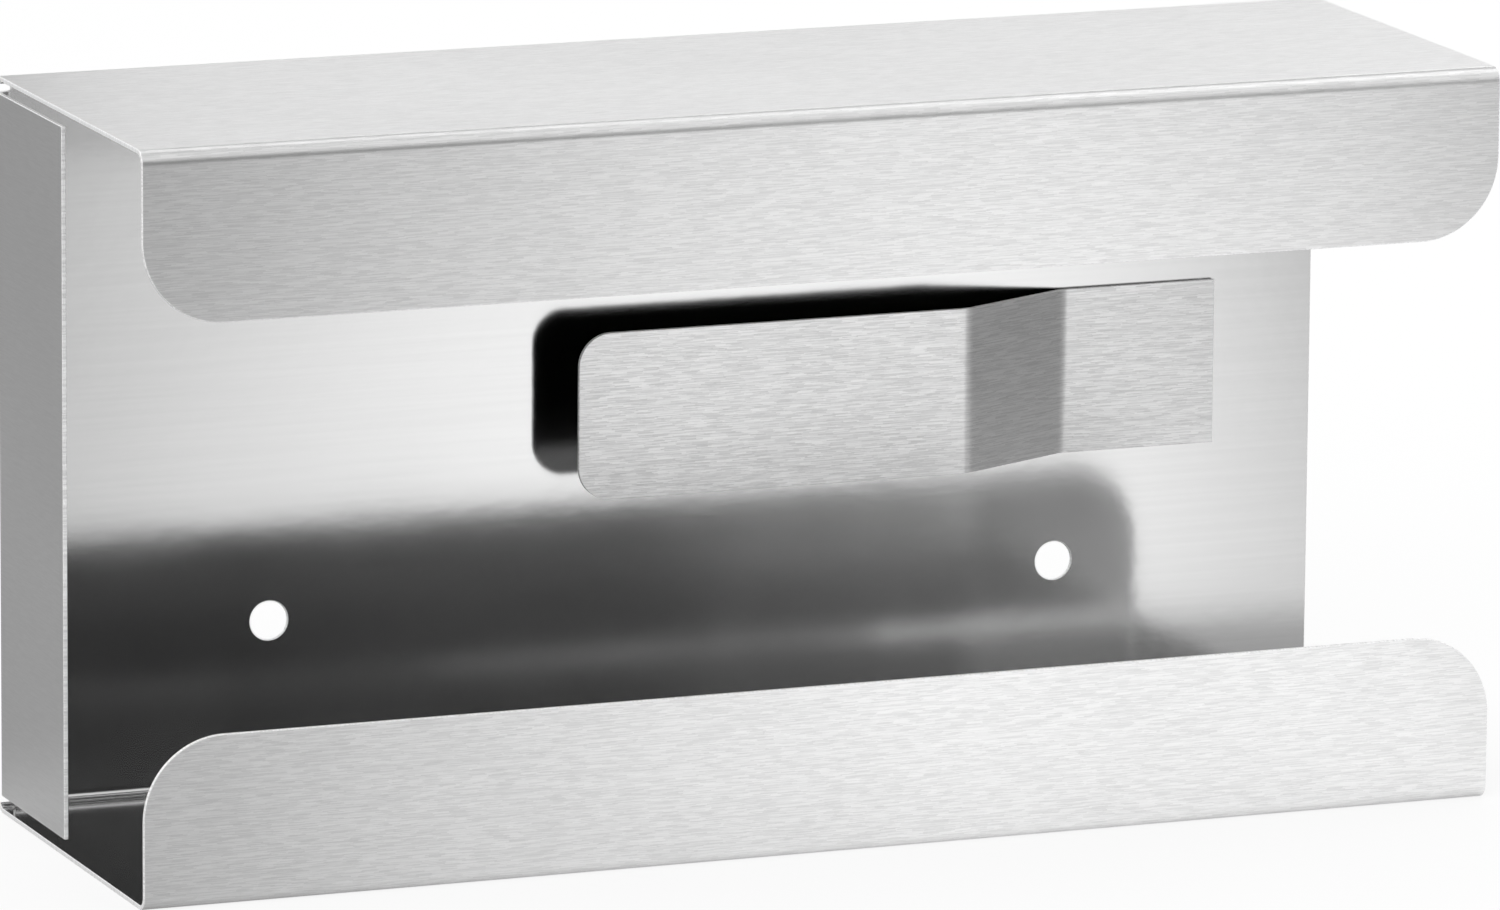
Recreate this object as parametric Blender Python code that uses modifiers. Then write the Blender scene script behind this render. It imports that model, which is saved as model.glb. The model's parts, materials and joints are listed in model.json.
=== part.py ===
"""Disposable glove dispenser: a housing folded from one stainless sheet, and a leaf spring.

The housing holds one carton of gloves lying on its long side. It is open along the front, where the
gloves are pulled out, and at its right end, where the carton goes in. The leaf spring is welded to the
inside of the back panel and holds the carton forward against the two front lips.

Metres, +Z up. The origin is on the standing plane under the middle of the housing. The front is at -Y,
the wall side at +Y, and the end with the flap at -X.
"""

import math

import bmesh
import bpy
from mathutils import Matrix, Vector

# Housing
WIDTH = 0.250             # along the wall
HEIGHT = 0.131
DEPTH = 0.080             # wall to front lips, outside
SHEET = 0.0008            # sheet thickness
BEND_RADIUS = 0.0026      # outside radius of each fold
UPPER_LIP = 0.030         # lip heights, outside
LOWER_LIP = 0.030
LIP_CORNER = 0.0145       # radius of the lips' free corners

# End flap, folded forward from the back panel, with a relief notch in the sheet above and below it
FLAP_DEPTH = 0.037        # from the wall plane to the flap's front edge
FLAP_MARGIN = 0.0004      # from the start of the top and bottom folds to the flap's ends
NOTCH_MARGIN = 0.0002     # how far a notch is cut past the start of the flap's fold
NOTCH_INTO_FOLD = 0.0014  # how far it is cut into the top or bottom fold, along the sheet

# Screw holes in the back panel
HOLE_DIAMETER = 0.007
HOLE_SPACING = 0.150
HOLE_HEIGHT = 0.0305      # above the standing plane

# Leaf spring, one strip with a foot, a ramp and a blade
LEAF_SHEET = 0.0008
LEAF_HEIGHT = 0.030
LEAF_BEND = 0.005         # radius of the strip's two bends, at mid thickness
LEAF_INSET = 0.0195       # from the housing's open end to the foot's end
FOOT_LENGTH = 0.030       # to the crease between foot and ramp
RAMP_RUN = 0.0226         # from that crease to the next, along the wall
BLADE_LENGTH = 0.073      # from the second crease to the tip
LEAF_STANDOFF = 0.012     # from the back panel's inner face to the blade's front face
TIP_CORNER = 0.006

# Clearances
SEAT_GAP = 0.0003         # between the foot and the back panel
HINGE_GAP = 0.0003        # between the foot and the moving blade
CUT_MARGIN = 0.003        # how far a hole's cutter stands out of the sheet

# Fineness of round shapes
FOLD_STEPS = 8
LEAF_STEPS = 4
CORNER_STEPS = 10
TIP_STEPS = 6
HOLE_SIDES = 48
SMOOTH_ANGLE = math.radians(35)
NEAR = 1e-6               # what counts as the same place, in metres

# Colour and roughness of the two steels
SHEET_FINISH = ((0.60, 0.61, 0.61), 0.32)
STRIP_FINISH = ((0.64, 0.64, 0.63), 0.36)

OBJECT = "disposable_glove_dispenser"
QUARTER_TURN = math.pi / 2
INWARDS, BOTH_SIDES = -1, 0                        # which side of its surface a wall grows on

# Places that several pieces share
BACK = DEPTH / 2                                   # the wall plane
BACK_INSIDE = BACK - SHEET
LEFT = -WIDTH / 2
RIGHT = WIDTH / 2
FOLD_LOW = BEND_RADIUS                             # where the bottom and top folds start
FOLD_HIGH = HEIGHT - BEND_RADIUS
FLAP_LOW = FOLD_LOW + FLAP_MARGIN                  # the flap's lower and upper ends
FLAP_HIGH = FOLD_HIGH - FLAP_MARGIN
NOTCH_LOW = FOLD_LOW - NOTCH_INTO_FOLD             # the notches' outer ends, in the flat sheet
NOTCH_HIGH = FOLD_HIGH + NOTCH_INTO_FOLD
FLAP_FOLD = LEFT + BEND_RADIUS                     # where the flap's fold starts
NOTCH_EDGE = FLAP_FOLD + NOTCH_MARGIN
SLOT_MIDDLE = (LOWER_LIP + HEIGHT - UPPER_LIP) / 2  # middle of the opening between the lips
LEAF_PLANE = BACK_INSIDE - SEAT_GAP - LEAF_SHEET / 2
LEAF_RISE = LEAF_STANDOFF - SEAT_GAP - LEAF_SHEET  # how far the ramp lifts the blade
RAMP_ANGLE = math.atan2(LEAF_RISE, RAMP_RUN)
BEND_TANGENT = LEAF_BEND * math.tan(RAMP_ANGLE / 2)
FOOT_CREASE = RIGHT - LEAF_INSET - FOOT_LENGTH
HINGE_X = FOOT_CREASE + BEND_TANGENT               # where the strip starts to bend


def clear_scene():
    """Remove the objects of the scene that the script runs in."""
    for old in list(bpy.data.objects):
        bpy.data.objects.remove(old, do_unlink=True)


def new_collection(name):
    """A collection linked to the scene."""
    collection = bpy.data.collections.new(name)
    bpy.context.scene.collection.children.link(collection)
    return collection


def steel(name, colour, roughness):
    """Brushed stainless steel."""
    material = bpy.data.materials.new(name)
    material.use_nodes = True
    shader = material.node_tree.nodes["Principled BSDF"]
    shader.inputs["Base Color"].default_value = (*colour, 1.0)
    shader.inputs["Metallic"].default_value = 1.0
    shader.inputs["Roughness"].default_value = roughness
    return material


def flat_sheet(low_x, high_x, low_z, high_z, y):
    """An upright rectangle in the plane y, facing +Y."""
    bm = bmesh.new()
    bmesh.ops.create_grid(bm, x_segments=1, y_segments=1, size=0.5)
    bmesh.ops.scale(bm, vec=(high_x - low_x, high_z - low_z, 1), verts=bm.verts)
    bmesh.ops.rotate(bm, verts=bm.verts, cent=(0, 0, 0), matrix=Matrix.Rotation(-QUARTER_TURN, 3, "X"))
    bmesh.ops.translate(bm, verts=bm.verts, vec=((low_x + high_x) / 2, y, (low_z + high_z) / 2))
    return bm


def round_corners(bm, corners, radius, steps):
    """Round the sheet's outline at some of its corners."""
    bmesh.ops.bevel(bm, geom=corners, offset=radius, segments=steps, profile=0.5, affect="VERTICES")


def score(bm, faces, place, across):
    """Cut a line over some faces of the sheet, through a place and square to a direction."""
    geometry = list(dict.fromkeys(part for face in faces for part in (face, *face.edges, *face.verts)))
    bmesh.ops.bisect_plane(bm, geom=geometry, dist=NEAR, plane_co=place, plane_no=across)


def fold_lines(start, outward, radius, angle, steps):
    """Where the flat sheet turns, and by how much, to follow an arc of the given radius."""
    chord = 2 * radius * math.sin(abs(angle) / steps / 2)
    turns = [angle / steps / 2] + [angle / steps] * (steps - 1) + [angle / steps / 2]
    return [(start + outward * chord * line, turn) for line, turn in enumerate(turns)]


def arc_length(radius, angle, steps):
    """Length of flat sheet that a fold takes up."""
    return steps * 2 * radius * math.sin(angle / steps / 2)


def fold(bm, flat, movable, lines, outward, axis):
    """Turn what lies past each line of a fold about that line, the outermost line first."""
    for place, turn in reversed(lines):
        beyond = [vert for vert in movable if (flat[vert] - place).dot(outward) > NEAR]
        bmesh.ops.rotate(bm, verts=beyond, cent=place, matrix=Matrix.Rotation(turn, 3, axis))


def finish_sheet(bm, name, thickness, side, material, collection):
    """Turn a folded surface into an object whose wall grows to one side of it, or to both."""
    for face in bm.faces:
        face.smooth = True
    for edge in bm.edges:
        edge.smooth = not edge.is_boundary and edge.calc_face_angle() < SMOOTH_ANGLE
    mesh = bpy.data.meshes.new(name)
    bm.to_mesh(mesh)
    bm.free()
    mesh.materials.append(material)
    sheet = bpy.data.objects.new(name, mesh)
    collection.objects.link(sheet)
    wall = sheet.modifiers.new("Wall", "SOLIDIFY")
    wall.thickness = thickness
    wall.offset = side
    wall.use_even_offset = True
    return sheet


def on_flap(place):
    """Whether a place on the flat sheet belongs to the flap or its fold."""
    return place.x < NOTCH_EDGE + NEAR and FLAP_LOW - NEAR < place.z < FLAP_HIGH + NEAR


def in_notch(place):
    """Whether a place on the flat sheet lies in one of the two relief notches."""
    return place.x < NOTCH_EDGE and (NOTCH_LOW < place.z < FLAP_LOW or FLAP_HIGH < place.z < NOTCH_HIGH)


def cut_notches(bm):
    """Cut the relief notches out of the flat sheet."""
    up, left = Vector((0, 0, 1)), Vector((-1, 0, 0))
    for level in (NOTCH_LOW, FLAP_LOW, FLAP_HIGH, NOTCH_HIGH):
        score(bm, list(bm.faces), (0, BACK, level), up)
    beside_flap = [face for face in bm.faces if NOTCH_LOW < face.calc_center_median().z < NOTCH_HIGH]
    score(bm, beside_flap, (NOTCH_EDGE, BACK, 0), left)
    waste = [face for face in bm.faces if in_notch(face.calc_center_median())]
    bmesh.ops.delete(bm, geom=waste, context="FACES")


def pull_flap(bm, length):
    """Lengthen the flat sheet by the flap, from the edge between the notches."""
    root = [edge for edge in bm.edges
            if all(abs(vert.co.x - LEFT) < NEAR and on_flap(vert.co) for vert in edge.verts)]
    pulled = bmesh.ops.extrude_edge_only(bm, edges=root)["geom"]
    verts = [part for part in pulled if isinstance(part, bmesh.types.BMVert)]
    bmesh.ops.translate(bm, verts=verts, vec=(FLAP_FOLD - length - LEFT, 0, 0))


def housing_surface():
    """The housing's outer surface: a flat blank in the wall plane, cut to its outline and folded."""
    up, down, left = Vector((0, 0, 1)), Vector((0, 0, -1)), Vector((-1, 0, 0))
    quarter_fold = (BEND_RADIUS, QUARTER_TURN, FOLD_STEPS)
    arc = arc_length(*quarter_fold)
    panel = DEPTH - 2 * BEND_RADIUS
    front_high = FOLD_HIGH + arc + panel
    front_low = FOLD_LOW - arc - panel
    blank_high = front_high + arc + UPPER_LIP - BEND_RADIUS
    blank_low = front_low - arc - (LOWER_LIP - BEND_RADIUS)

    bm = flat_sheet(LEFT, RIGHT, blank_low, blank_high, BACK)
    round_corners(bm, list(bm.verts), LIP_CORNER, CORNER_STEPS)
    cut_notches(bm)
    pull_flap(bm, arc + FLAP_DEPTH - BEND_RADIUS)

    # The front fold of the top and bottom panels comes before the fold at the back
    level_folds = []
    for height, outward, angle in (
            (front_high, up, QUARTER_TURN), (FOLD_HIGH, up, QUARTER_TURN),
            (front_low, down, -QUARTER_TURN), (FOLD_LOW, down, -QUARTER_TURN)):
        lines = fold_lines(Vector((0, BACK, height)), outward, BEND_RADIUS, angle, FOLD_STEPS)
        level_folds.append((lines, outward))
        for place, _ in lines:
            score(bm, list(bm.faces), place, outward)
    flap_lines = fold_lines(Vector((FLAP_FOLD, BACK, 0)), left, *quarter_fold)
    for place, _ in flap_lines:
        score(bm, [face for face in bm.faces if on_flap(face.calc_center_median())], place, left)

    flat = {vert: vert.co.copy() for vert in bm.verts}
    for lines, outward in level_folds:
        fold(bm, flat, list(bm.verts), lines, outward, "X")
    fold(bm, flat, [vert for vert in bm.verts if on_flap(flat[vert])], flap_lines, left, "Z")
    return bm


def screw_hole_cutter(x, collection):
    """A cylinder through the back panel."""
    bpy.ops.mesh.primitive_cylinder_add(vertices=HOLE_SIDES, radius=HOLE_DIAMETER / 2,
                                        depth=SHEET + 2 * CUT_MARGIN,
                                        location=(x, BACK - SHEET / 2, HOLE_HEIGHT),
                                        rotation=(QUARTER_TURN, 0, 0))
    cutter = bpy.context.object
    cutter.name = "screw_hole_cutter"
    cutter.hide_render = True
    cutter.display_type = "WIRE"
    for holder in list(cutter.users_collection):
        holder.objects.unlink(cutter)
    collection.objects.link(cutter)
    return cutter


def make_housing(parts, cutters):
    """The folded housing with its two screw holes."""
    material = steel("satin_stainless_sheet", *SHEET_FINISH)
    housing = finish_sheet(housing_surface(), "housing", SHEET, INWARDS, material, parts)
    for x in (-HOLE_SPACING / 2, HOLE_SPACING / 2):
        hole = housing.modifiers.new("Screw hole", "BOOLEAN")
        hole.operation = "DIFFERENCE"
        hole.solver = "EXACT"
        hole.object = screw_hole_cutter(x, cutters)
    return housing


def make_leaf_foot(parts, material, housing):
    """The leaf spring's flat foot, which is welded to the back panel."""
    foot_end = RIGHT - LEAF_INSET
    bm = flat_sheet(HINGE_X + HINGE_GAP, foot_end, -LEAF_HEIGHT / 2, LEAF_HEIGHT / 2, 0)
    foot = finish_sheet(bm, "leaf_spring_foot", LEAF_SHEET, BOTH_SIDES, material, parts)
    foot.location = (0, LEAF_PLANE, SLOT_MIDDLE)
    foot.parent = housing
    return foot


def blade_surface():
    """The strip past the hinge line, at mid thickness: bend, ramp, bend and straight blade."""
    arc = arc_length(LEAF_BEND, RAMP_ANGLE, LEAF_STEPS)
    ramp = math.hypot(RAMP_RUN, LEAF_RISE) - 2 * BEND_TANGENT
    length = 2 * arc + ramp + BLADE_LENGTH - BEND_TANGENT
    left = Vector((-1, 0, 0))
    bm = flat_sheet(-length, 0, -LEAF_HEIGHT / 2, LEAF_HEIGHT / 2, 0)
    tip = [vert for vert in bm.verts if vert.co.x < -length / 2]
    round_corners(bm, tip, TIP_CORNER, TIP_STEPS)

    # The bend at the blade comes before the bend at the hinge line
    bends = [fold_lines(left * (arc + ramp), left, LEAF_BEND, -RAMP_ANGLE, LEAF_STEPS),
             fold_lines(Vector((0, 0, 0)), left, LEAF_BEND, RAMP_ANGLE, LEAF_STEPS)]
    for place, _ in bends[0] + bends[1]:
        score(bm, list(bm.faces), place, left)
    flat = {vert: vert.co.copy() for vert in bm.verts}
    for lines in bends:
        fold(bm, flat, list(bm.verts), lines, left, "Z")
    return bm


def make_leaf_blade(parts, material, foot):
    """The moving part of the leaf spring. Its origin is on the line about which it flexes."""
    blade = finish_sheet(blade_surface(), "leaf_spring_blade", LEAF_SHEET, BOTH_SIDES, material, parts)
    blade.location = (HINGE_X, 0, 0)
    blade.parent = foot
    return blade


def main():
    """Build the dispenser."""
    clear_scene()
    parts = new_collection(OBJECT)
    cutters = new_collection("cutters")
    housing = make_housing(parts, cutters)
    strip = steel("brushed_stainless_strip", *STRIP_FINISH)
    foot = make_leaf_foot(parts, strip, housing)
    make_leaf_blade(parts, strip, foot)


main()
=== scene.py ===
"""Visual model and studio stage of a disposable glove dispenser.

The housing is one stainless sheet: it is cut flat, folded along its lines and given its wall. Its texture
map is the flat sheet itself, in metres, so the brushed grain runs through every fold as on the real one.
The leaf spring is one strip that is bent the same way; the real one flexes at its first bend.
"""

import json
import math
from types import SimpleNamespace

import bmesh
import bpy
from bpy.props import FloatProperty, FloatVectorProperty, IntProperty, PointerProperty
from bpy.types import Operator, Panel, PropertyGroup
from mathutils import Matrix, Vector

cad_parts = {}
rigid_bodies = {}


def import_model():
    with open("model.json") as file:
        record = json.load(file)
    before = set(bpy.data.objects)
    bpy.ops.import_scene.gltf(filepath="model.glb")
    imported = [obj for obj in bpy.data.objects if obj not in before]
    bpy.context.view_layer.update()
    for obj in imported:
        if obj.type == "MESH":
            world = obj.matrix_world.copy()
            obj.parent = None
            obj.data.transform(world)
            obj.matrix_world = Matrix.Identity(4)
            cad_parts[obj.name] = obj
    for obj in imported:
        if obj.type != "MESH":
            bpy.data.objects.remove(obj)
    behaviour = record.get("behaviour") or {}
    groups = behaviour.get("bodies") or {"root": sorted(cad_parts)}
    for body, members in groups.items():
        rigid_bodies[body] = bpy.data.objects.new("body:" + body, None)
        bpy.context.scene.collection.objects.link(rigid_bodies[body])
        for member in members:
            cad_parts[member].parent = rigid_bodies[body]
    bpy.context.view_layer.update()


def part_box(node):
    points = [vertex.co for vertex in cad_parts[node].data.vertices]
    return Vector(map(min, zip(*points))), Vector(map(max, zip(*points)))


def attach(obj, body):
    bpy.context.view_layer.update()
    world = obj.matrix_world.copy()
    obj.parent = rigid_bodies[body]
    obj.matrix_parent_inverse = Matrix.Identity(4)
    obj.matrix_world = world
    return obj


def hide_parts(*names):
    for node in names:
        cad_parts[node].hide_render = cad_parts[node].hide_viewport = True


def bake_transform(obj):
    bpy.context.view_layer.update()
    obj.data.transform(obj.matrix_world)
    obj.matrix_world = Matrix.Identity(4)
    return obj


bl_info = {
    "name": "Glove dispenser",
    "version": (1, 0, 0),
    "blender": (4, 5, 0),
    "location": "3D View > Sidebar > Dispenser",
    "description": "Folds a stainless glove dispenser with its leaf spring and sets a studio stage for it",
    "category": "Add Mesh",
}

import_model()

HOUSING_LOW, HOUSING_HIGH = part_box("housing")
FOOT_LOW, FOOT_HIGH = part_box("leaf_spring_foot")
BLADE_LOW, BLADE_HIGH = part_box("leaf_spring_blade")

QUARTER_TURN = math.pi / 2
NEAR = 1e-6                      # what counts as the same place, in metres
SHEET_MAP = "flat_sheet"         # texture map that holds a point's place on the flat sheet, in metres
UP, DOWN, LEFT = Vector((0, 0, 1)), Vector((0, 0, -1)), Vector((-1, 0, 0))

# Facets of the round shapes
LIP_CORNER_STEPS = 28
TIP_CORNER_STEPS = 20
BEND_STEPS = 12
HOLE_SIDES = 64
EDGE_BREAK_STEPS = 2

FLAT_MARGIN = 0.0003             # from a fold to the line that keeps the flat panel's shading flat
HOLE_PATCH = 2.2                 # half the side of the square scored around a hole, in hole radii
CRISP_ANGLE = math.radians(50)   # edges that turn more than this are cut edges

# Scratches of the brushed finish, in metres. Real ones from grit 180 are a few hundredths of a millimetre
# wide, which is too fine to show, so they are drawn as coarse as they need to be
SCRATCH_WIDTH = 0.00014
SCRATCH_LENGTH = 0.0030
SCRATCH_DEPTH = 0.0000015
COARSE_WIDTH = 1.7 * SCRATCH_WIDTH
COARSE_LENGTH = 0.6 * SCRATCH_LENGTH
COARSE_SHARE = 0.2
COARSE_FIRST_ROW = 500.0         # sets the coarse scratches apart from the fine ones

# The scratches show less on the end flap, from its fold on
FLAP_FADE = (HOUSING_LOW.x + 0.0015, HOUSING_LOW.x - 0.0030)
FLAP_FADE_MOST = 0.7

# Roughness of the finishes, how one-sidedly they spread a highlight, and how far both vary over a sheet
BRUSHED_ROUGHNESS, BRUSHED_ANISOTROPY = 0.29, 0.75
ROLLED_ROUGHNESS, ROLLED_ANISOTROPY = 0.105, 0.78
ROUGHNESS_DRIFT = 0.01
TINT_DRIFT = 0.015
WAVE_DEPTH = 0.000008            # of the rolled face, in metres
BURR_DEPTH = 0.00008             # of the cut edge, in metres
ACROSS_THE_GRAIN = 0.25          # a quarter turn of the highlight, away from the sheet's length
NOISE_LOW, NOISE_HIGH = 0.3, 0.7  # most of a noise value lies between these
LINE_LOW, LINE_HIGH = 0.2, 0.8    # and most of a scratch between these

# Where the paper's painted tones of light and shade pass into each other, in metres: from where to where.
# The strip of lit paper leads to the right with distance from the plane y = 0
LIT_STRIP_SLANT = 0.39
LEFT_SHADE = (0.03, -0.27)
LEFT_SHADE_END = (-0.62, -0.42)
RIGHT_SHADE = (0.07, 0.26)
FAR_SHADE = (-0.10, -0.55)
FAR_SHADE_MOST = 0.04
# Painted shade under the object: where it starts in front and where it ends on the right
UNDER_FRONT = (-0.05, -0.02)
UNDER_RIGHT = (0.19, 0.15)
BEHIND = (0.03, 0.10)
# Painted shade behind the object: where it passes into its lighter left part
BEYOND_FLAP = (0.0, -0.15)
FLOOR_RADIUS = 3.0
FLOOR_SIDES = 96

# Where the room's tones pass into each other, as parts of the direction looked in
WING_SIDE, WING_BACK = (0.32, 0.50), (-0.05, 0.10)
CARD_SIDE, CARD_RISE = (-0.05, -0.20), (0.02, 0.12)
FRONT, FRONT_RISE, FRONT_RIGHT = (0.10, -0.30), (0.27, 0.39), (0.386, 0.402)
CORNER_RIGHT, CORNER_LEFT = (0.330, 0.300), (0.05, 0.20)
CORNER_RISE = 0.16               # how much further up the low tone reaches in this corner

# How much light the paper returns, and how much of its look is its own glow, to camera and to metal
PAPER_RETURN = 0.9
PAPER_RETURN_SEEN = 0.65
GLOW_SEEN = 0.85
GLOW_MIRRORED = 0.45

# The photograph's camera, fitted to the edges in it: metres, millimetres and degrees
CAMERA_PLACE = (-0.76140, -1.92986, 0.49334)
CAMERA_HEADING, CAMERA_DIP, CAMERA_ROLL = -21.543, 11.724, 0.437
CAMERA_SENSOR, CAMERA_LENS = 36.0, 290.56
CAMERA_REACH = (0.05, 20.0)

BLACK, WHITE = (0.0, 0.0, 0.0, 1.0), (1.0, 1.0, 1.0, 1.0)


def linear(hex_colour):
    """The linear red, green and blue of an sRGB hex value."""
    channels = [int(hex_colour[place:place + 2], 16) / 255 for place in (0, 2, 4)]
    return tuple(c / 12.92 if c <= 0.04045 else ((c + 0.055) / 1.055) ** 2.4 for c in channels)


def length(name, description, default):
    """A size in metres that a user can change."""
    return FloatProperty(name=name, description=description, default=default, min=0.0, unit="LENGTH",
                         precision=5)


def colour(name, description, default):
    """A colour that a user can change."""
    return FloatVectorProperty(name=name, description=description, default=linear(default), size=3,
                               min=0.0, max=1.0, subtype="COLOR")


def power(name, description, default):
    """A lamp's power in watts that a user can change."""
    return FloatProperty(name=name, description=description, default=default, min=0.0, unit="POWER")


class HousingSizes(PropertyGroup):
    """Sizes of the folded housing."""

    width: length("Width", "Along the wall", HOUSING_HIGH.x - HOUSING_LOW.x)
    height: length("Height", "Over the top and bottom panels", HOUSING_HIGH.z - HOUSING_LOW.z)
    depth: length("Depth", "From the wall to the front lips", HOUSING_HIGH.y - HOUSING_LOW.y)
    sheet: length("Sheet", "Thickness of the sheet", 0.0008)
    bend_radius: length("Bend radius", "Outside radius of every fold", 0.0026)
    upper_lip: length("Upper lip", "Height of the upper front lip", 0.030)
    lower_lip: length("Lower lip", "Height of the lower front lip", 0.030)
    lip_corner: length("Lip corner", "Radius of the lips' free corners", 0.0145)
    flap_depth: length("Flap depth", "From the wall to the end flap's front edge", 0.037)
    flap_margin: length("Flap margin", "From the top and bottom folds to the flap's ends", 0.0004)
    notch_margin: length("Notch margin", "How far the relief notches pass the flap's fold", 0.0002)
    notch_into_fold: length("Notch in fold", "How far the notches reach into the folds", 0.0014)
    hole_diameter: length("Hole", "Diameter of the two screw holes", 0.007)
    hole_spacing: length("Hole spacing", "Between the screw holes", 0.150)
    hole_height: length("Hole height", "Of the screw holes above the base", 0.0305)
    edge_break: length("Edge break", "Width of the dulled edge left by deburring", 0.00016)
    fold_steps: IntProperty(name="Fold steps", description="Facets in each fold", default=24, min=4)


class LeafSizes(PropertyGroup):
    """Sizes of the leaf spring."""

    sheet: length("Strip", "Thickness of the strip", FOOT_HIGH.y - FOOT_LOW.y)
    height: length("Height", "Height of the strip", FOOT_HIGH.z - FOOT_LOW.z)
    bend_radius: length("Bend radius", "Radius of the two bends at mid thickness", 0.005)
    ramp_run: length("Ramp", "From crease to crease along the wall", 0.0226)
    ramp_rise: length("Rise", "How far the ramp lifts the blade off the wall", 0.0109)
    tip_corner: length("Tip corner", "Radius of the blade's free corners", 0.006)
    edge_break: length("Edge break", "Width of the dulled edge left by deburring", 0.00008)


class Finishes(PropertyGroup):
    """Colours of the steels."""

    outside: colour("Outside", "Satin-brushed face of the sheet", "F4F4F4")
    inside: colour("Inside", "Bright rolled face of the sheet", "E4E4E4")
    strip: colour("Strip", "Brushed spring strip", "EEEEEE")
    # Painted shade: the strip's rear is a rolled face whose tint is darkened to stand for the shade between
    # strip and wall
    rear: colour("Strip's rear", "Dull rolled face of the strip, towards the wall", "787878")
    cut_edge: colour("Cut edge", "Bare steel where the sheet was cut", "F8F8F8")


class StageSettings(PropertyGroup):
    """The floor, the room and the lamps."""

    lit: colour("Lit paper", "Paper in front of the object", "FFFFFF")
    side: colour("Sides", "Paper to the left and right, out of the light", "7C7C7C")
    # Painted shade: the glowing paper's darker tone under the object, as metal sees it
    under: colour("Under", "Paper under the object", "A8A8A8")
    behind: colour("Behind", "Paper behind the object, in its shade", "5E5E5E")
    # Painted shade: the glowing paper's tone behind the object on the left, which the end flap mirrors
    beyond: colour("Beyond the flap", "Paper behind the object, to the left", "8E8E8E")
    wing: colour("Wing", "Grey screen behind the object, on the right", "8C8C8C")
    card: colour("Card", "White card behind the object, on the left", "FFFFFF")
    room: colour("Room", "The unlit room behind the table", "282828")
    front_low: colour("Front, low", "The room on the camera's side, near the horizon", "303030")
    front_side: colour("Front, right", "The room on the camera's side, low on its right", "A8A8A8")
    front_high: colour("Front, high", "White wall on the camera's side, above the camera", "E8E8E8")
    ambient: FloatProperty(name="Ambient", description="Light from all round", default=1.5, min=0.0)
    overhead: power("Overhead", "Power of the soft box overhead", 2.4)
    front: power("Front", "Power of the soft box in front", 11.4)
    back: power("Back", "Power of the soft box behind", 3.6)


def flat_sheet(low_x, high_x, low_z, high_z, y):
    """An upright rectangle in the plane y, facing +Y."""
    bm = bmesh.new()
    bmesh.ops.create_grid(bm, x_segments=1, y_segments=1, size=0.5)
    bmesh.ops.scale(bm, vec=(high_x - low_x, high_z - low_z, 1), verts=bm.verts)
    bmesh.ops.rotate(bm, verts=bm.verts, cent=(0, 0, 0), matrix=Matrix.Rotation(-QUARTER_TURN, 3, "X"))
    bmesh.ops.translate(bm, verts=bm.verts, vec=((low_x + high_x) / 2, y, (low_z + high_z) / 2))
    return bm


def round_corners(bm, corners, radius, steps):
    """Round the sheet's outline at some of its corners."""
    bmesh.ops.bevel(bm, geom=corners, offset=radius, segments=steps, profile=0.5, affect="VERTICES",
                    material=-1)


def score(bm, faces, place, across):
    """Cut a line over some faces of the sheet, through a place and square to a direction."""
    geometry = list(dict.fromkeys(part for face in faces for part in (face, *face.edges, *face.verts)))
    bmesh.ops.bisect_plane(bm, geom=geometry, dist=NEAR, plane_co=place, plane_no=across)


def fold_lines(start, outward, radius, angle, steps):
    """Where the flat sheet turns, and by how much, to follow an arc of the given radius."""
    chord = 2 * radius * math.sin(abs(angle) / steps / 2)
    turns = [angle / steps / 2] + [angle / steps] * (steps - 1) + [angle / steps / 2]
    return [(start + outward * chord * line, turn) for line, turn in enumerate(turns)]


def arc_length(radius, angle, steps):
    """Length of flat sheet that a fold takes up."""
    return steps * 2 * radius * math.sin(angle / steps / 2)


def fold(bm, flat, movable, lines, outward, axis):
    """Turn what lies past each line of a fold about that line, the outermost line first."""
    for place, turn in reversed(lines):
        beyond = [vert for vert in movable if (flat[vert] - place).dot(outward) > NEAR]
        bmesh.ops.rotate(bm, verts=beyond, cent=place, matrix=Matrix.Rotation(turn, 3, axis))


def score_fold(bm, faces_of, lines, outward):
    """Score a fold's lines, and one just outside each end that keeps the flat panel's shading flat."""
    margin = outward * FLAT_MARGIN
    for place in (lines[0][0] - margin, *(place for place, _ in lines), lines[-1][0] + margin):
        score(bm, faces_of(), place, outward)


def lay_map(bm):
    """Write each corner's place on the flat sheet into the texture map, before any fold is made."""
    layer = bm.loops.layers.uv.new(SHEET_MAP)
    for face in bm.faces:
        for corner in face.loops:
            corner[layer].uv = (corner.vert.co.x, corner.vert.co.z)


def punch_hole(bm, centre, radius, sides):
    """Punch a round hole through the flat sheet, inside a square patch of its own."""
    patch = radius * HOLE_PATCH
    for offset, across in ((patch, UP), (-patch, UP), (patch, LEFT), (-patch, LEFT)):
        score(bm, list(bm.faces), centre + across * offset, across)
    square = min(bm.faces, key=lambda face: (face.calc_center_median() - centre).length)
    bmesh.ops.subdivide_edges(bm, edges=list(square.edges), cuts=sides // 4 - 1)
    square = min(bm.faces, key=lambda face: (face.calc_center_median() - centre).length)
    bmesh.ops.inset_individual(bm, faces=[square], thickness=patch / sides)
    for vert in square.verts:
        vert.co = centre + (vert.co - centre).normalized() * radius
    bmesh.ops.delete(bm, geom=[square], context="FACES")


def forget(blocks, name):
    """Remove what an earlier run left under this name."""
    old = blocks.get(name)
    if old is not None:
        blocks.remove(old)


def new_piece(name, bm, materials):
    """Make the mesh an object of the scene, with every face shaded smooth."""
    forget(bpy.data.objects, name)
    for face in bm.faces:
        face.smooth = True
    mesh = bpy.data.meshes.new(name)
    bm.to_mesh(mesh)
    bm.free()
    for material in materials:
        mesh.materials.append(material)
    piece = bpy.data.objects.new(name, mesh)
    bpy.context.scene.collection.objects.link(piece)
    return piece


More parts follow.
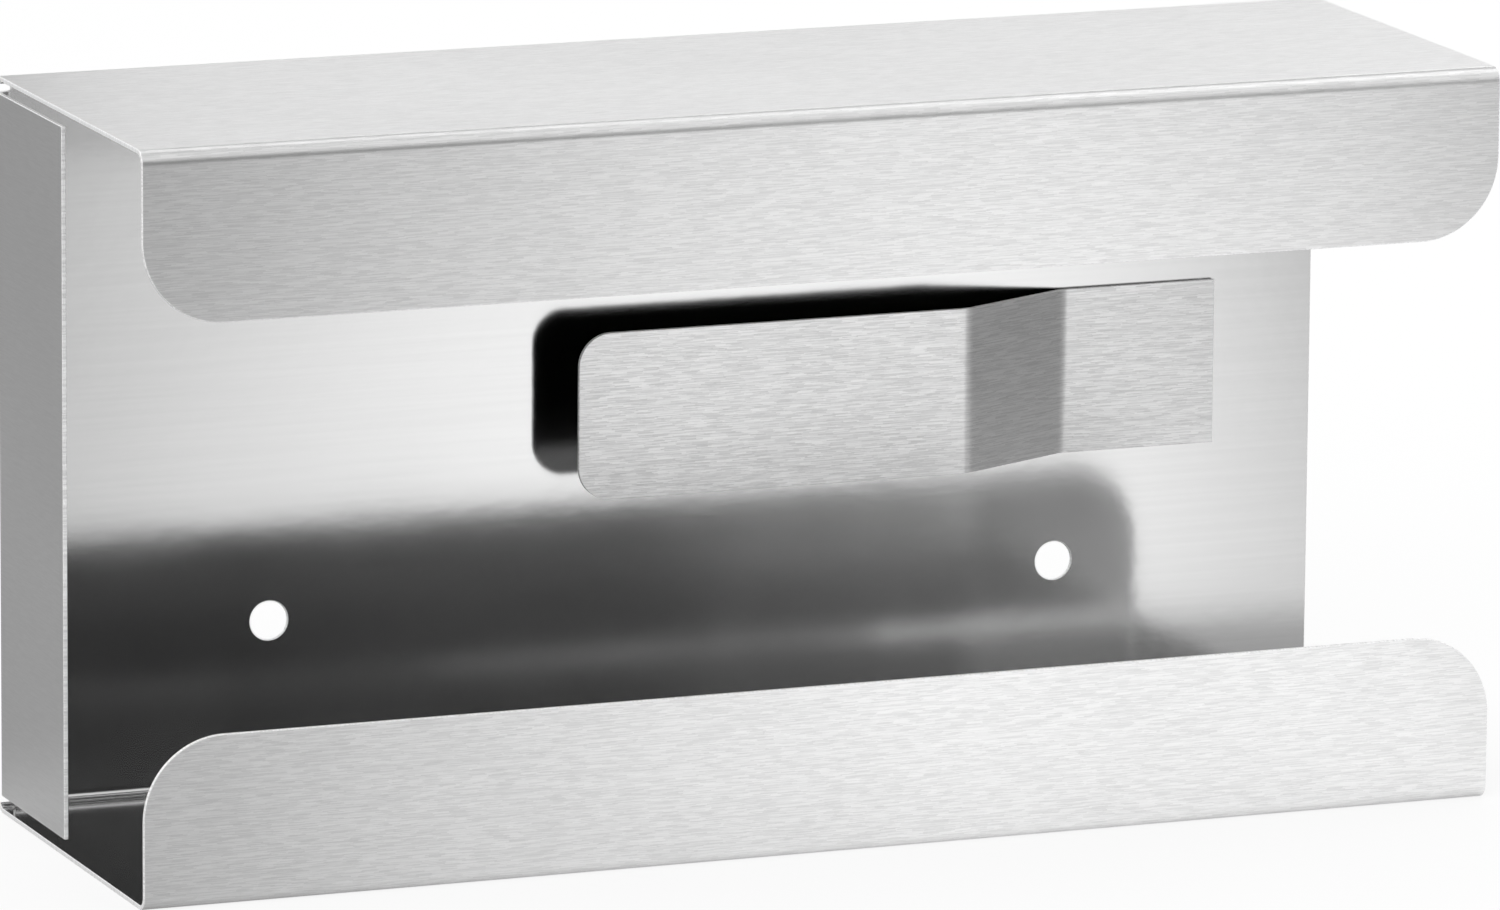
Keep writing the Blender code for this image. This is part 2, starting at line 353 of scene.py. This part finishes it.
def give_wall(piece, thickness, side, edge_break):
    """Thicken the surface to a wall and dull its edges.

    The piece's second material goes on the wall's other face, and its third on the rim.
    """
    other_face, rim = 1, 2
    wall = piece.modifiers.new("Wall", "SOLIDIFY")
    wall.thickness = thickness
    wall.offset = side
    wall.use_even_offset = True
    wall.material_offset = other_face
    wall.material_offset_rim = rim
    dull = piece.modifiers.new("Dulled edge", "BEVEL")
    dull.limit_method = "ANGLE"
    dull.angle_limit = CRISP_ANGLE
    dull.width = edge_break
    dull.segments = EDGE_BREAK_STEPS
    dull.material = rim
    dull.use_clamp_overlap = False
    dull.harden_normals = True


def blank_places(sizes):
    """Where the housing blank's edges, fold lines and notches lie while it is flat in the wall plane."""
    radius = sizes.bend_radius
    panel = sizes.depth - 2 * radius
    at = SimpleNamespace(back=HOUSING_HIGH.y, left=HOUSING_LOW.x, right=HOUSING_LOW.x + sizes.width,
                         fold_low=radius, fold_high=sizes.height - radius,
                         arc=arc_length(radius, QUARTER_TURN, sizes.fold_steps))
    at.front_low, at.front_high = at.fold_low - at.arc - panel, at.fold_high + at.arc + panel
    at.low_edge = at.front_low - at.arc - (sizes.lower_lip - radius)
    at.high_edge = at.front_high + at.arc + sizes.upper_lip - radius
    at.flap_low, at.flap_high = at.fold_low + sizes.flap_margin, at.fold_high - sizes.flap_margin
    at.notch_low, at.notch_high = at.fold_low - sizes.notch_into_fold, at.fold_high + sizes.notch_into_fold
    at.flap_fold = at.left + radius
    at.flap_tip = at.flap_fold - (at.arc + sizes.flap_depth - radius)
    at.notch_edge = at.flap_fold + sizes.notch_margin
    return at


def on_flap(place, at):
    """Whether a place on the flat blank belongs to the end flap."""
    return place.x < at.notch_edge + NEAR and at.flap_low - NEAR < place.z < at.flap_high + NEAR


def cut_blank(sizes, at):
    """Cut the housing's flat blank: round corners, two relief notches and the end flap between them."""
    bm = flat_sheet(at.left, at.right, at.low_edge, at.high_edge, at.back)
    round_corners(bm, list(bm.verts), sizes.lip_corner, LIP_CORNER_STEPS)

    for level in (at.notch_low, at.flap_low, at.flap_high, at.notch_high):
        score(bm, list(bm.faces), (0, at.back, level), UP)
    beside = [face for face in bm.faces if at.notch_low < face.calc_center_median().z < at.notch_high]
    score(bm, beside, (at.notch_edge, at.back, 0), LEFT)
    waste = [face for face in bm.faces if face.calc_center_median().x < at.notch_edge
             and (at.notch_low < face.calc_center_median().z < at.flap_low
                  or at.flap_high < face.calc_center_median().z < at.notch_high)]
    bmesh.ops.delete(bm, geom=waste, context="FACES")

    root = [edge for edge in bm.edges
            if all(abs(vert.co.x - at.left) < NEAR and on_flap(vert.co, at) for vert in edge.verts)]
    pulled = bmesh.ops.extrude_edge_only(bm, edges=root)["geom"]
    tips = [part for part in pulled if isinstance(part, bmesh.types.BMVert)]
    bmesh.ops.translate(bm, verts=tips, vec=(at.flap_tip - at.left, 0, 0))
    return bm


def folded_blank(sizes):
    """The housing's outer surface: its flat blank, scored, punched and folded."""
    radius, steps = sizes.bend_radius, sizes.fold_steps
    at = blank_places(sizes)
    bm = cut_blank(sizes, at)

    def flap_faces():
        return [face for face in bm.faces if on_flap(face.calc_center_median(), at)]

    level_folds = []
    for height, outward, angle in (
            (at.front_high, UP, QUARTER_TURN), (at.fold_high, UP, QUARTER_TURN),
            (at.front_low, DOWN, -QUARTER_TURN), (at.fold_low, DOWN, -QUARTER_TURN)):
        lines = fold_lines(Vector((0, at.back, height)), outward, radius, angle, steps)
        level_folds.append((lines, outward))
        score_fold(bm, lambda: list(bm.faces), lines, outward)
    flap_lines = fold_lines(Vector((at.flap_fold, at.back, 0)), LEFT, radius, QUARTER_TURN, steps)
    score_fold(bm, flap_faces, flap_lines[1:], LEFT)
    score(bm, flap_faces(), flap_lines[0][0], LEFT)

    for x in (-sizes.hole_spacing / 2, sizes.hole_spacing / 2):
        punch_hole(bm, Vector((x, at.back, sizes.hole_height)), sizes.hole_diameter / 2, HOLE_SIDES)

    lay_map(bm)
    flat = {vert: vert.co.copy() for vert in bm.verts}
    for lines, outward in level_folds:
        fold(bm, flat, list(bm.verts), lines, outward, "X")
    fold(bm, flat, [vert for vert in bm.verts if on_flap(flat[vert], at)], flap_lines, LEFT, "Z")
    return bm


def bent_strip(sizes, hinge):
    """The leaf spring at mid thickness: foot, bend, ramp, bend and blade, from its welded end to its tip."""
    angle = math.atan2(sizes.ramp_rise, sizes.ramp_run)
    arc = arc_length(sizes.bend_radius, angle, BEND_STEPS)
    tangent = sizes.bend_radius * math.tan(angle / 2)
    ramp = math.hypot(sizes.ramp_run, sizes.ramp_rise) - 2 * tangent
    # The tip lies one tangent, 1.1 mm, past the tip of the solid blade
    blade = hinge.x - BLADE_LOW.x - sizes.ramp_run - tangent
    reach = 2 * arc + ramp + blade
    bm = flat_sheet(hinge.x - reach, FOOT_HIGH.x, hinge.z - sizes.height / 2,
                    hinge.z + sizes.height / 2, hinge.y)
    tip = [vert for vert in bm.verts if vert.co.x < hinge.x]
    round_corners(bm, tip, sizes.tip_corner, TIP_CORNER_STEPS)
    bends = [fold_lines(hinge + LEFT * (arc + ramp), LEFT, sizes.bend_radius, -angle, BEND_STEPS),
             fold_lines(hinge, LEFT, sizes.bend_radius, angle, BEND_STEPS)]
    for lines in bends:
        score_fold(bm, lambda: list(bm.faces), lines, LEFT)
    lay_map(bm)
    flat = {vert: vert.co.copy() for vert in bm.verts}
    for lines in bends:
        fold(bm, flat, list(bm.verts), lines, LEFT, "Z")
    return bm


def add(tree, kind, inputs=(), **settings):
    """Add a node with its settings, and set or link its inputs."""
    made = tree.nodes.new(kind)
    for name, value in settings.items():
        setattr(made, name, value)
    for name, value in dict(inputs).items():
        socket = made.inputs[name]
        if isinstance(value, bpy.types.NodeSocket):
            tree.links.new(value, socket)
        else:
            socket.default_value = value
    return made


def new_material(name):
    """An empty node material and its node tree."""
    forget(bpy.data.materials, name)
    material = bpy.data.materials.new(name)
    material.use_nodes = True
    material.node_tree.nodes.clear()
    return material, material.node_tree


def share_within(tree, *passages, most=1.0):
    """How far a place lies within a region: from 0 outside it to most inside it.

    Each passage is a value and the two numbers between which that value softly enters the region.
    """
    share = most
    for value, (start, end) in passages:
        entered = add(tree, "ShaderNodeMapRange", {"Value": value, "From Min": start, "From Max": end},
                      interpolation_type="SMOOTHSTEP").outputs[0]
        share = add(tree, "ShaderNodeMath", {0: entered, 1: share}, operation="MULTIPLY").outputs[0]
    return share


def lay_over(tree, tone, cover, *passages, most=1.0):
    """Lay another tone over a tone, within the region that the passages bound."""
    return add(tree, "ShaderNodeMix", {"Factor": share_within(tree, *passages, most=most),
                                       "A": tone, "B": cover}, data_type="RGBA").outputs["Result"]


def solid(setting):
    """A colour setting as a node takes it, with full opacity."""
    return (*setting, 1.0)


def grain(tree, place, across, along, offset):
    """A noise value that changes about every across metres over the sheet and every along metres along it."""
    stretched = add(tree, "ShaderNodeMapping", {"Vector": place, "Location": (offset, offset, 0),
                                                "Scale": (1 / along, 1 / across, 1)})
    noise = add(tree, "ShaderNodeTexNoise", {"Vector": stretched.outputs[0], "Scale": 1.0,
                                             "Detail": 2.0, "Roughness": 0.55},
                noise_dimensions="2D")
    return noise.outputs["Fac"]


def scratches(tree, place, across, along, first_row):
    """Straight scratches along the sheet: rows across metres thick, broken about every along metres."""
    where = add(tree, "ShaderNodeSeparateXYZ", {0: place})
    row = add(tree, "ShaderNodeMath", {0: where.outputs[1], 1: 1 / across, 2: first_row},
              operation="MULTIPLY_ADD").outputs[0]
    row = add(tree, "ShaderNodeMath", {0: row}, operation="FLOOR").outputs[0]
    start = add(tree, "ShaderNodeTexWhiteNoise", {"W": row}, noise_dimensions="1D").outputs["Value"]
    piece = add(tree, "ShaderNodeMath", {0: where.outputs[0], 1: 1 / along, 2: start},
                operation="MULTIPLY_ADD").outputs[0]
    piece = add(tree, "ShaderNodeMath", {0: piece}, operation="FLOOR").outputs[0]
    scratch = add(tree, "ShaderNodeCombineXYZ", {0: piece, 1: row}).outputs[0]
    return add(tree, "ShaderNodeTexWhiteNoise", {"Vector": scratch}, noise_dimensions="2D").outputs["Value"]


def directional_steel(tree, tint, roughness, anisotropy, relief):
    """A steel surface that spreads a highlight across the sheet's length more than along it."""
    along_sheet = add(tree, "ShaderNodeTangent", direction_type="UV_MAP", uv_map=SHEET_MAP)
    steel = add(tree, "ShaderNodeBsdfPrincipled", {
        "Base Color": tint, "Metallic": 1.0, "Roughness": roughness, "Anisotropic": anisotropy,
        "Anisotropic Rotation": ACROSS_THE_GRAIN, "Normal": relief, "Tangent": along_sheet.outputs[0]})
    add(tree, "ShaderNodeOutputMaterial", {"Surface": steel.outputs[0]})


def brushed_lines(tree, place):
    """The belt's lines: fine and coarse scratches together, weaker on the end flap."""
    fine = scratches(tree, place, SCRATCH_WIDTH, SCRATCH_LENGTH, 0.0)
    coarse = scratches(tree, place, COARSE_WIDTH, COARSE_LENGTH, COARSE_FIRST_ROW)
    lines = add(tree, "ShaderNodeMix", {"Factor": COARSE_SHARE, "A": fine, "B": coarse},
                data_type="FLOAT").outputs["Result"]
    along = add(tree, "ShaderNodeSeparateXYZ", {0: place}).outputs[0]
    faded = share_within(tree, (along, FLAP_FADE), most=FLAP_FADE_MOST)
    return add(tree, "ShaderNodeMix", {"Factor": faded, "A": lines, "B": 0.5},
               data_type="FLOAT").outputs["Result"]


def brushed_steel(name, tint, contrast):
    """Stainless steel drawn under an abrasive belt.

    It gives fine broken lines along the sheet, and spreads a highlight across them.
    """
    material, tree = new_material(name)
    place = add(tree, "ShaderNodeUVMap", uv_map=SHEET_MAP).outputs[0]
    lines = brushed_lines(tree, place)
    cloud = grain(tree, place, across=0.045, along=0.060, offset=8.3)
    shade = add(tree, "ShaderNodeMapRange", {"Value": lines, "To Min": 1 - contrast,
                                             "To Max": 1 + contrast}).outputs[0]
    drift = add(tree, "ShaderNodeMapRange", {
        "Value": cloud, "From Min": NOISE_LOW, "From Max": NOISE_HIGH,
        "To Min": 1 - TINT_DRIFT, "To Max": 1 + TINT_DRIFT}).outputs[0]
    shade = add(tree, "ShaderNodeMath", {0: shade, 1: drift}, operation="MULTIPLY").outputs[0]
    tone = add(tree, "ShaderNodeVectorMath", {0: tint, 1: shade}, operation="MULTIPLY").outputs[0]
    rough = add(tree, "ShaderNodeMapRange", {
        "Value": lines, "From Min": LINE_LOW, "From Max": LINE_HIGH,
        "To Min": BRUSHED_ROUGHNESS + ROUGHNESS_DRIFT,
        "To Max": BRUSHED_ROUGHNESS - ROUGHNESS_DRIFT}).outputs[0]
    relief = add(tree, "ShaderNodeBump", {"Height": lines, "Strength": 1.0, "Distance": SCRATCH_DEPTH})
    directional_steel(tree, tone, rough, BRUSHED_ANISOTROPY, relief.outputs[0])
    return material


def rolled_steel(name, tint):
    """Stainless steel as it leaves the rolls, under its protective film.

    It is half a mirror, slightly wavy, and blurs what it mirrors across the rolling direction.
    """
    material, tree = new_material(name)
    place = add(tree, "ShaderNodeUVMap", uv_map=SHEET_MAP).outputs[0]
    rolling = grain(tree, place, across=0.0009, along=0.050, offset=1.3)
    waves = grain(tree, place, across=0.0045, along=0.0065, offset=5.1)
    cloud = grain(tree, place, across=0.030, along=0.050, offset=9.4)
    shade = add(tree, "ShaderNodeMapRange", {
        "Value": rolling, "From Min": NOISE_LOW, "From Max": NOISE_HIGH,
        "To Min": 1 - TINT_DRIFT, "To Max": 1 + TINT_DRIFT}).outputs[0]
    tone = add(tree, "ShaderNodeVectorMath", {0: tint, 1: shade}, operation="MULTIPLY").outputs[0]
    rough = add(tree, "ShaderNodeMapRange", {
        "Value": cloud, "From Min": NOISE_LOW, "From Max": NOISE_HIGH,
        "To Min": ROLLED_ROUGHNESS - ROUGHNESS_DRIFT,
        "To Max": ROLLED_ROUGHNESS + ROUGHNESS_DRIFT}).outputs[0]
    relief = add(tree, "ShaderNodeBump", {"Height": waves, "Strength": 1.0, "Distance": WAVE_DEPTH})
    directional_steel(tree, tone, rough, ROLLED_ANISOTROPY, relief.outputs[0])
    return material


def cut_edge(name, tint):
    """The cut end of the sheet: bare, torn steel with the tool's short marks across its thickness.

    Its burr is so ragged that it scatters light as a matt surface does, and looks pale from every side.
    """
    material, tree = new_material(name)
    place = add(tree, "ShaderNodeUVMap", uv_map=SHEET_MAP).outputs[0]
    marks = grain(tree, place, across=0.00035, along=0.00035, offset=2.2)
    shade = add(tree, "ShaderNodeMapRange", {"Value": marks, "From Min": NOISE_LOW, "From Max": NOISE_HIGH,
                                             "To Min": 0.82, "To Max": 1.1}).outputs[0]
    tone = add(tree, "ShaderNodeVectorMath", {0: tint, 1: shade}, operation="MULTIPLY").outputs[0]
    relief = add(tree, "ShaderNodeBump", {"Height": marks, "Strength": 1.0, "Distance": BURR_DEPTH})
    steel = add(tree, "ShaderNodeBsdfPrincipled", {
        "Base Color": tone, "Metallic": 0.5, "Roughness": 0.6, "Normal": relief.outputs[0]})
    add(tree, "ShaderNodeOutputMaterial", {"Surface": steel.outputs[0]})
    return material


class DISPENSER_OT_housing(Operator):
    """Fold the housing from its flat blank"""

    bl_idname = "dispenser.housing"
    bl_label = "Fold housing"

    def execute(self, context):
        sizes, finish = context.scene.dispenser_housing, context.scene.dispenser_finishes
        outside = brushed_steel("satin_brushed_stainless", finish.outside, contrast=0.115)
        inside = rolled_steel("bright_rolled_stainless", finish.inside)
        rim = cut_edge("sheared_stainless_edge", finish.cut_edge)
        housing = new_piece("folded_housing", folded_blank(sizes), (outside, inside, rim))
        give_wall(housing, sizes.sheet, -1, sizes.edge_break)
        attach(housing, "housing")
        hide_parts("housing")
        return {"FINISHED"}


class DISPENSER_OT_leaf(Operator):
    """Bend the leaf spring from its strip"""

    bl_idname = "dispenser.leaf"
    bl_label = "Bend leaf spring"

    def execute(self, context):
        sizes, finish = context.scene.dispenser_leaf, context.scene.dispenser_finishes
        front = brushed_steel("brushed_spring_strip", finish.strip, contrast=0.170)
        # The rear's dark tint is painted shade, for the narrow gap between the strip and the wall
        rear = rolled_steel("rolled_spring_strip_painted_shade", finish.rear)
        rim = cut_edge("sheared_strip_edge", finish.cut_edge)
        hinge = Vector(((FOOT_LOW.x + BLADE_HIGH.x) / 2, (FOOT_LOW.y + FOOT_HIGH.y) / 2,
                        (FOOT_LOW.z + FOOT_HIGH.z) / 2))
        leaf = new_piece("leaf_spring", bent_strip(sizes, hinge), (rear, front, rim))
        give_wall(leaf, sizes.sheet, 0, sizes.edge_break)
        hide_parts("leaf_spring_foot", "leaf_spring_blade")
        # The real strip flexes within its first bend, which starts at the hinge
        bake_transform(leaf)
        return {"FINISHED"}


def shown(tree, tone):
    """What is seen of the paper itself: plain white by the camera, its graded tone by metal and glass.

    It gives that colour, whether the camera sees it, and whether metal or glass sees it.
    """
    path = add(tree, "ShaderNodeLightPath")
    camera = path.outputs["Is Camera Ray"]
    mirrored = add(tree, "ShaderNodeMath", {0: path.outputs["Is Glossy Ray"],
                                            1: path.outputs["Is Transmission Ray"]}, operation="MAXIMUM")
    seen = add(tree, "ShaderNodeMix", {"Factor": camera, "A": tone, "B": WHITE}, data_type="RGBA")
    return seen.outputs["Result"], camera, mirrored.outputs[0]


def paper_tone(tree, stage):
    """The paper's graded tone: a lit strip in front of the object, and shade beside, under and behind it."""
    where = add(tree, "ShaderNodeSeparateXYZ", {0: add(tree, "ShaderNodeTexCoord").outputs["Object"]})
    x, y = where.outputs[0], where.outputs[1]
    away = add(tree, "ShaderNodeMath", {0: y}, operation="ABSOLUTE").outputs[0]
    aside = add(tree, "ShaderNodeMath", {0: away, 1: -LIT_STRIP_SLANT, 2: x},
                operation="MULTIPLY_ADD").outputs[0]
    side = solid(stage.side)
    tone = lay_over(tree, solid(stage.lit), side, (aside, LEFT_SHADE), (aside, LEFT_SHADE_END))
    tone = lay_over(tree, tone, side, (aside, RIGHT_SHADE))
    tone = lay_over(tree, tone, BLACK, (y, FAR_SHADE), most=FAR_SHADE_MOST)
    tone = lay_over(tree, tone, solid(stage.under), (y, UNDER_FRONT), (x, UNDER_RIGHT))
    rear = lay_over(tree, solid(stage.behind), solid(stage.beyond), (x, BEYOND_FLAP))
    return lay_over(tree, tone, rear, (y, BEHIND))


def room_tone(tree, stage):
    """The room's graded tone: dark, with a wing and a card behind the object and a white wall in front."""
    where = add(tree, "ShaderNodeSeparateXYZ", {0: add(tree, "ShaderNodeTexCoord").outputs["Generated"]})
    x, y, z = where.outputs
    tone = lay_over(tree, solid(stage.room), solid(stage.wing), (x, WING_SIDE), (y, WING_BACK))
    tone = lay_over(tree, tone, solid(stage.card), (x, CARD_SIDE), (z, CARD_RISE))
    low = lay_over(tree, solid(stage.front_low), solid(stage.front_side), (x, FRONT_RIGHT))
    corner = share_within(tree, (x, CORNER_RIGHT), (x, CORNER_LEFT))
    level = add(tree, "ShaderNodeMath", {0: corner, 1: -CORNER_RISE, 2: z},
                operation="MULTIPLY_ADD").outputs[0]
    front = lay_over(tree, low, solid(stage.front_high), (level, FRONT_RISE))
    return lay_over(tree, tone, front, (y, FRONT))


def pale_paper(stage):
    """Matt paper that takes shadows. Its glow is white to the camera, and painted light and shade to metal.
    """
    material, tree = new_material("pale_paper")
    tone, camera, mirrored = shown(tree, paper_tone(tree, stage))
    glow = add(tree, "ShaderNodeEmission", {"Color": tone, "Strength": 1.0})
    returned = add(tree, "ShaderNodeMath", {0: camera, 1: PAPER_RETURN_SEEN - PAPER_RETURN,
                                            2: PAPER_RETURN}, operation="MULTIPLY_ADD")
    dimmed = add(tree, "ShaderNodeVectorMath", {0: tone, "Scale": returned.outputs[0]}, operation="SCALE")
    matt = add(tree, "ShaderNodeBsdfDiffuse", {"Color": dimmed.outputs[0]})
    share = add(tree, "ShaderNodeMath", {0: mirrored, 1: GLOW_MIRRORED}, operation="MULTIPLY").outputs[0]
    share = add(tree, "ShaderNodeMath", {0: camera, 1: GLOW_SEEN, 2: share},
                operation="MULTIPLY_ADD").outputs[0]
    mixed = add(tree, "ShaderNodeMixShader", {0: share, 1: matt.outputs[0], 2: glow.outputs[0]})
    add(tree, "ShaderNodeOutputMaterial", {"Surface": mixed.outputs[0]})
    return material


def lay_floor(stage):
    """Pale paper under the object. It takes the object's shadow."""
    bm = bmesh.new()
    bmesh.ops.create_circle(bm, cap_ends=True, segments=FLOOR_SIDES, radius=FLOOR_RADIUS)
    floor = new_piece("floor", bm, (pale_paper(stage),))


def surround(scene, stage):
    """Soft light from all round, which metal and the camera see as the room."""
    forget(bpy.data.worlds, "studio")
    world = bpy.data.worlds.new("studio")
    scene.world = world
    world.use_nodes = True
    world.cycles.sampling_method = "NONE"      # metal then sees the room only by its own reflections
    tree = world.node_tree
    tree.nodes.clear()
    tone, camera, mirrored = shown(tree, room_tone(tree, stage))
    seen = add(tree, "ShaderNodeMath", {0: camera, 1: mirrored}, operation="MAXIMUM").outputs[0]
    light = add(tree, "ShaderNodeBackground", {"Strength": stage.ambient})
    room = add(tree, "ShaderNodeBackground", {"Color": tone, "Strength": 1.0})
    mixed = add(tree, "ShaderNodeMixShader", {0: seen, 1: light.outputs[0], 2: room.outputs[0]})
    add(tree, "ShaderNodeOutputWorld", {"Surface": mixed.outputs[0]})


def hang_lamps(scene, stage):
    """Soft boxes overhead, in front and behind."""
    for name, watts, size, place, target in (
            ("overhead_lamp", stage.overhead, (1.2, 0.6), (0.35, 0.35, 1.15), (0, 0, 0)),
            ("front_lamp", stage.front, (0.9, 0.9), (-0.90, -1.10, 0.90), (0.10, -0.60, 0)),
            ("back_lamp", stage.back, (1.6, 0.45), (0.94, 1.00, 0.72), (0, 0, 0.13))):
        forget(bpy.data.objects, name)
        light = bpy.data.lights.new(name, "AREA")
        light.shape = "RECTANGLE"
        light.energy = watts
        light.size, light.size_y = size
        lamp = bpy.data.objects.new(name, light)
        lamp.location = place
        aim = Vector(target) - Vector(place)
        lamp.rotation_euler = aim.to_track_quat("-Z", "Y").to_euler()
        lamp.visible_glossy = name != "front_lamp"     # it lights the paper, and leaves no glare on steel
        scene.collection.objects.link(lamp)


def place_camera(scene):
    """The photograph's camera: about two metres away, from the left and a little above."""
    forget(bpy.data.objects, "camera")
    view = bpy.data.cameras.new("camera")
    view.sensor_width = CAMERA_SENSOR
    view.lens = CAMERA_LENS
    view.clip_start, view.clip_end = CAMERA_REACH
    camera = bpy.data.objects.new("camera", view)
    turn = (Matrix.Rotation(math.radians(CAMERA_HEADING), 4, "Z")
            @ Matrix.Rotation(math.radians(90 - CAMERA_DIP), 4, "X")
            @ Matrix.Rotation(math.radians(CAMERA_ROLL), 4, "Z"))
    camera.matrix_world = Matrix.Translation(CAMERA_PLACE) @ turn
    scene.collection.objects.link(camera)
    scene.camera = camera


class DISPENSER_OT_stage(Operator):
    """Set the floor, the room, the lamps and the camera"""

    bl_idname = "dispenser.stage"
    bl_label = "Set stage"

    def execute(self, context):
        scene, stage = context.scene, context.scene.dispenser_stage
        lay_floor(stage)
        surround(scene, stage)
        hang_lamps(scene, stage)
        place_camera(scene)
        scene.view_settings.view_transform = "Standard"
        return {"FINISHED"}


class VIEW3D_PT_dispenser(Panel):
    """Lists the sizes, the finishes and the steps."""

    bl_label = "Glove dispenser"
    bl_space_type = "VIEW_3D"
    bl_region_type = "UI"
    bl_category = "Dispenser"

    def draw(self, context):
        scene = context.scene
        for group, step in ((scene.dispenser_housing, DISPENSER_OT_housing),
                            (scene.dispenser_leaf, DISPENSER_OT_leaf),
                            (scene.dispenser_finishes, None),
                            (scene.dispenser_stage, DISPENSER_OT_stage)):
            box = self.layout.box()
            for name in group.__annotations__:
                box.prop(group, name)
            if step is not None:
                box.operator(step.bl_idname)


CLASSES = (HousingSizes, LeafSizes, Finishes, StageSettings, DISPENSER_OT_housing, DISPENSER_OT_leaf,
           DISPENSER_OT_stage, VIEW3D_PT_dispenser)


def register():
    for kind in CLASSES:
        bpy.utils.register_class(kind)
    bpy.types.Scene.dispenser_housing = PointerProperty(type=HousingSizes)
    bpy.types.Scene.dispenser_leaf = PointerProperty(type=LeafSizes)
    bpy.types.Scene.dispenser_finishes = PointerProperty(type=Finishes)
    bpy.types.Scene.dispenser_stage = PointerProperty(type=StageSettings)


def unregister():
    for name in ("dispenser_stage", "dispenser_finishes", "dispenser_leaf", "dispenser_housing"):
        delattr(bpy.types.Scene, name)
    for kind in reversed(CLASSES):
        bpy.utils.unregister_class(kind)


def main():
    """Build the object and the stage."""
    register()
    bpy.ops.dispenser.housing()
    bpy.ops.dispenser.leaf()
    bpy.ops.dispenser.stage()


if __name__ == "__main__":
    main()
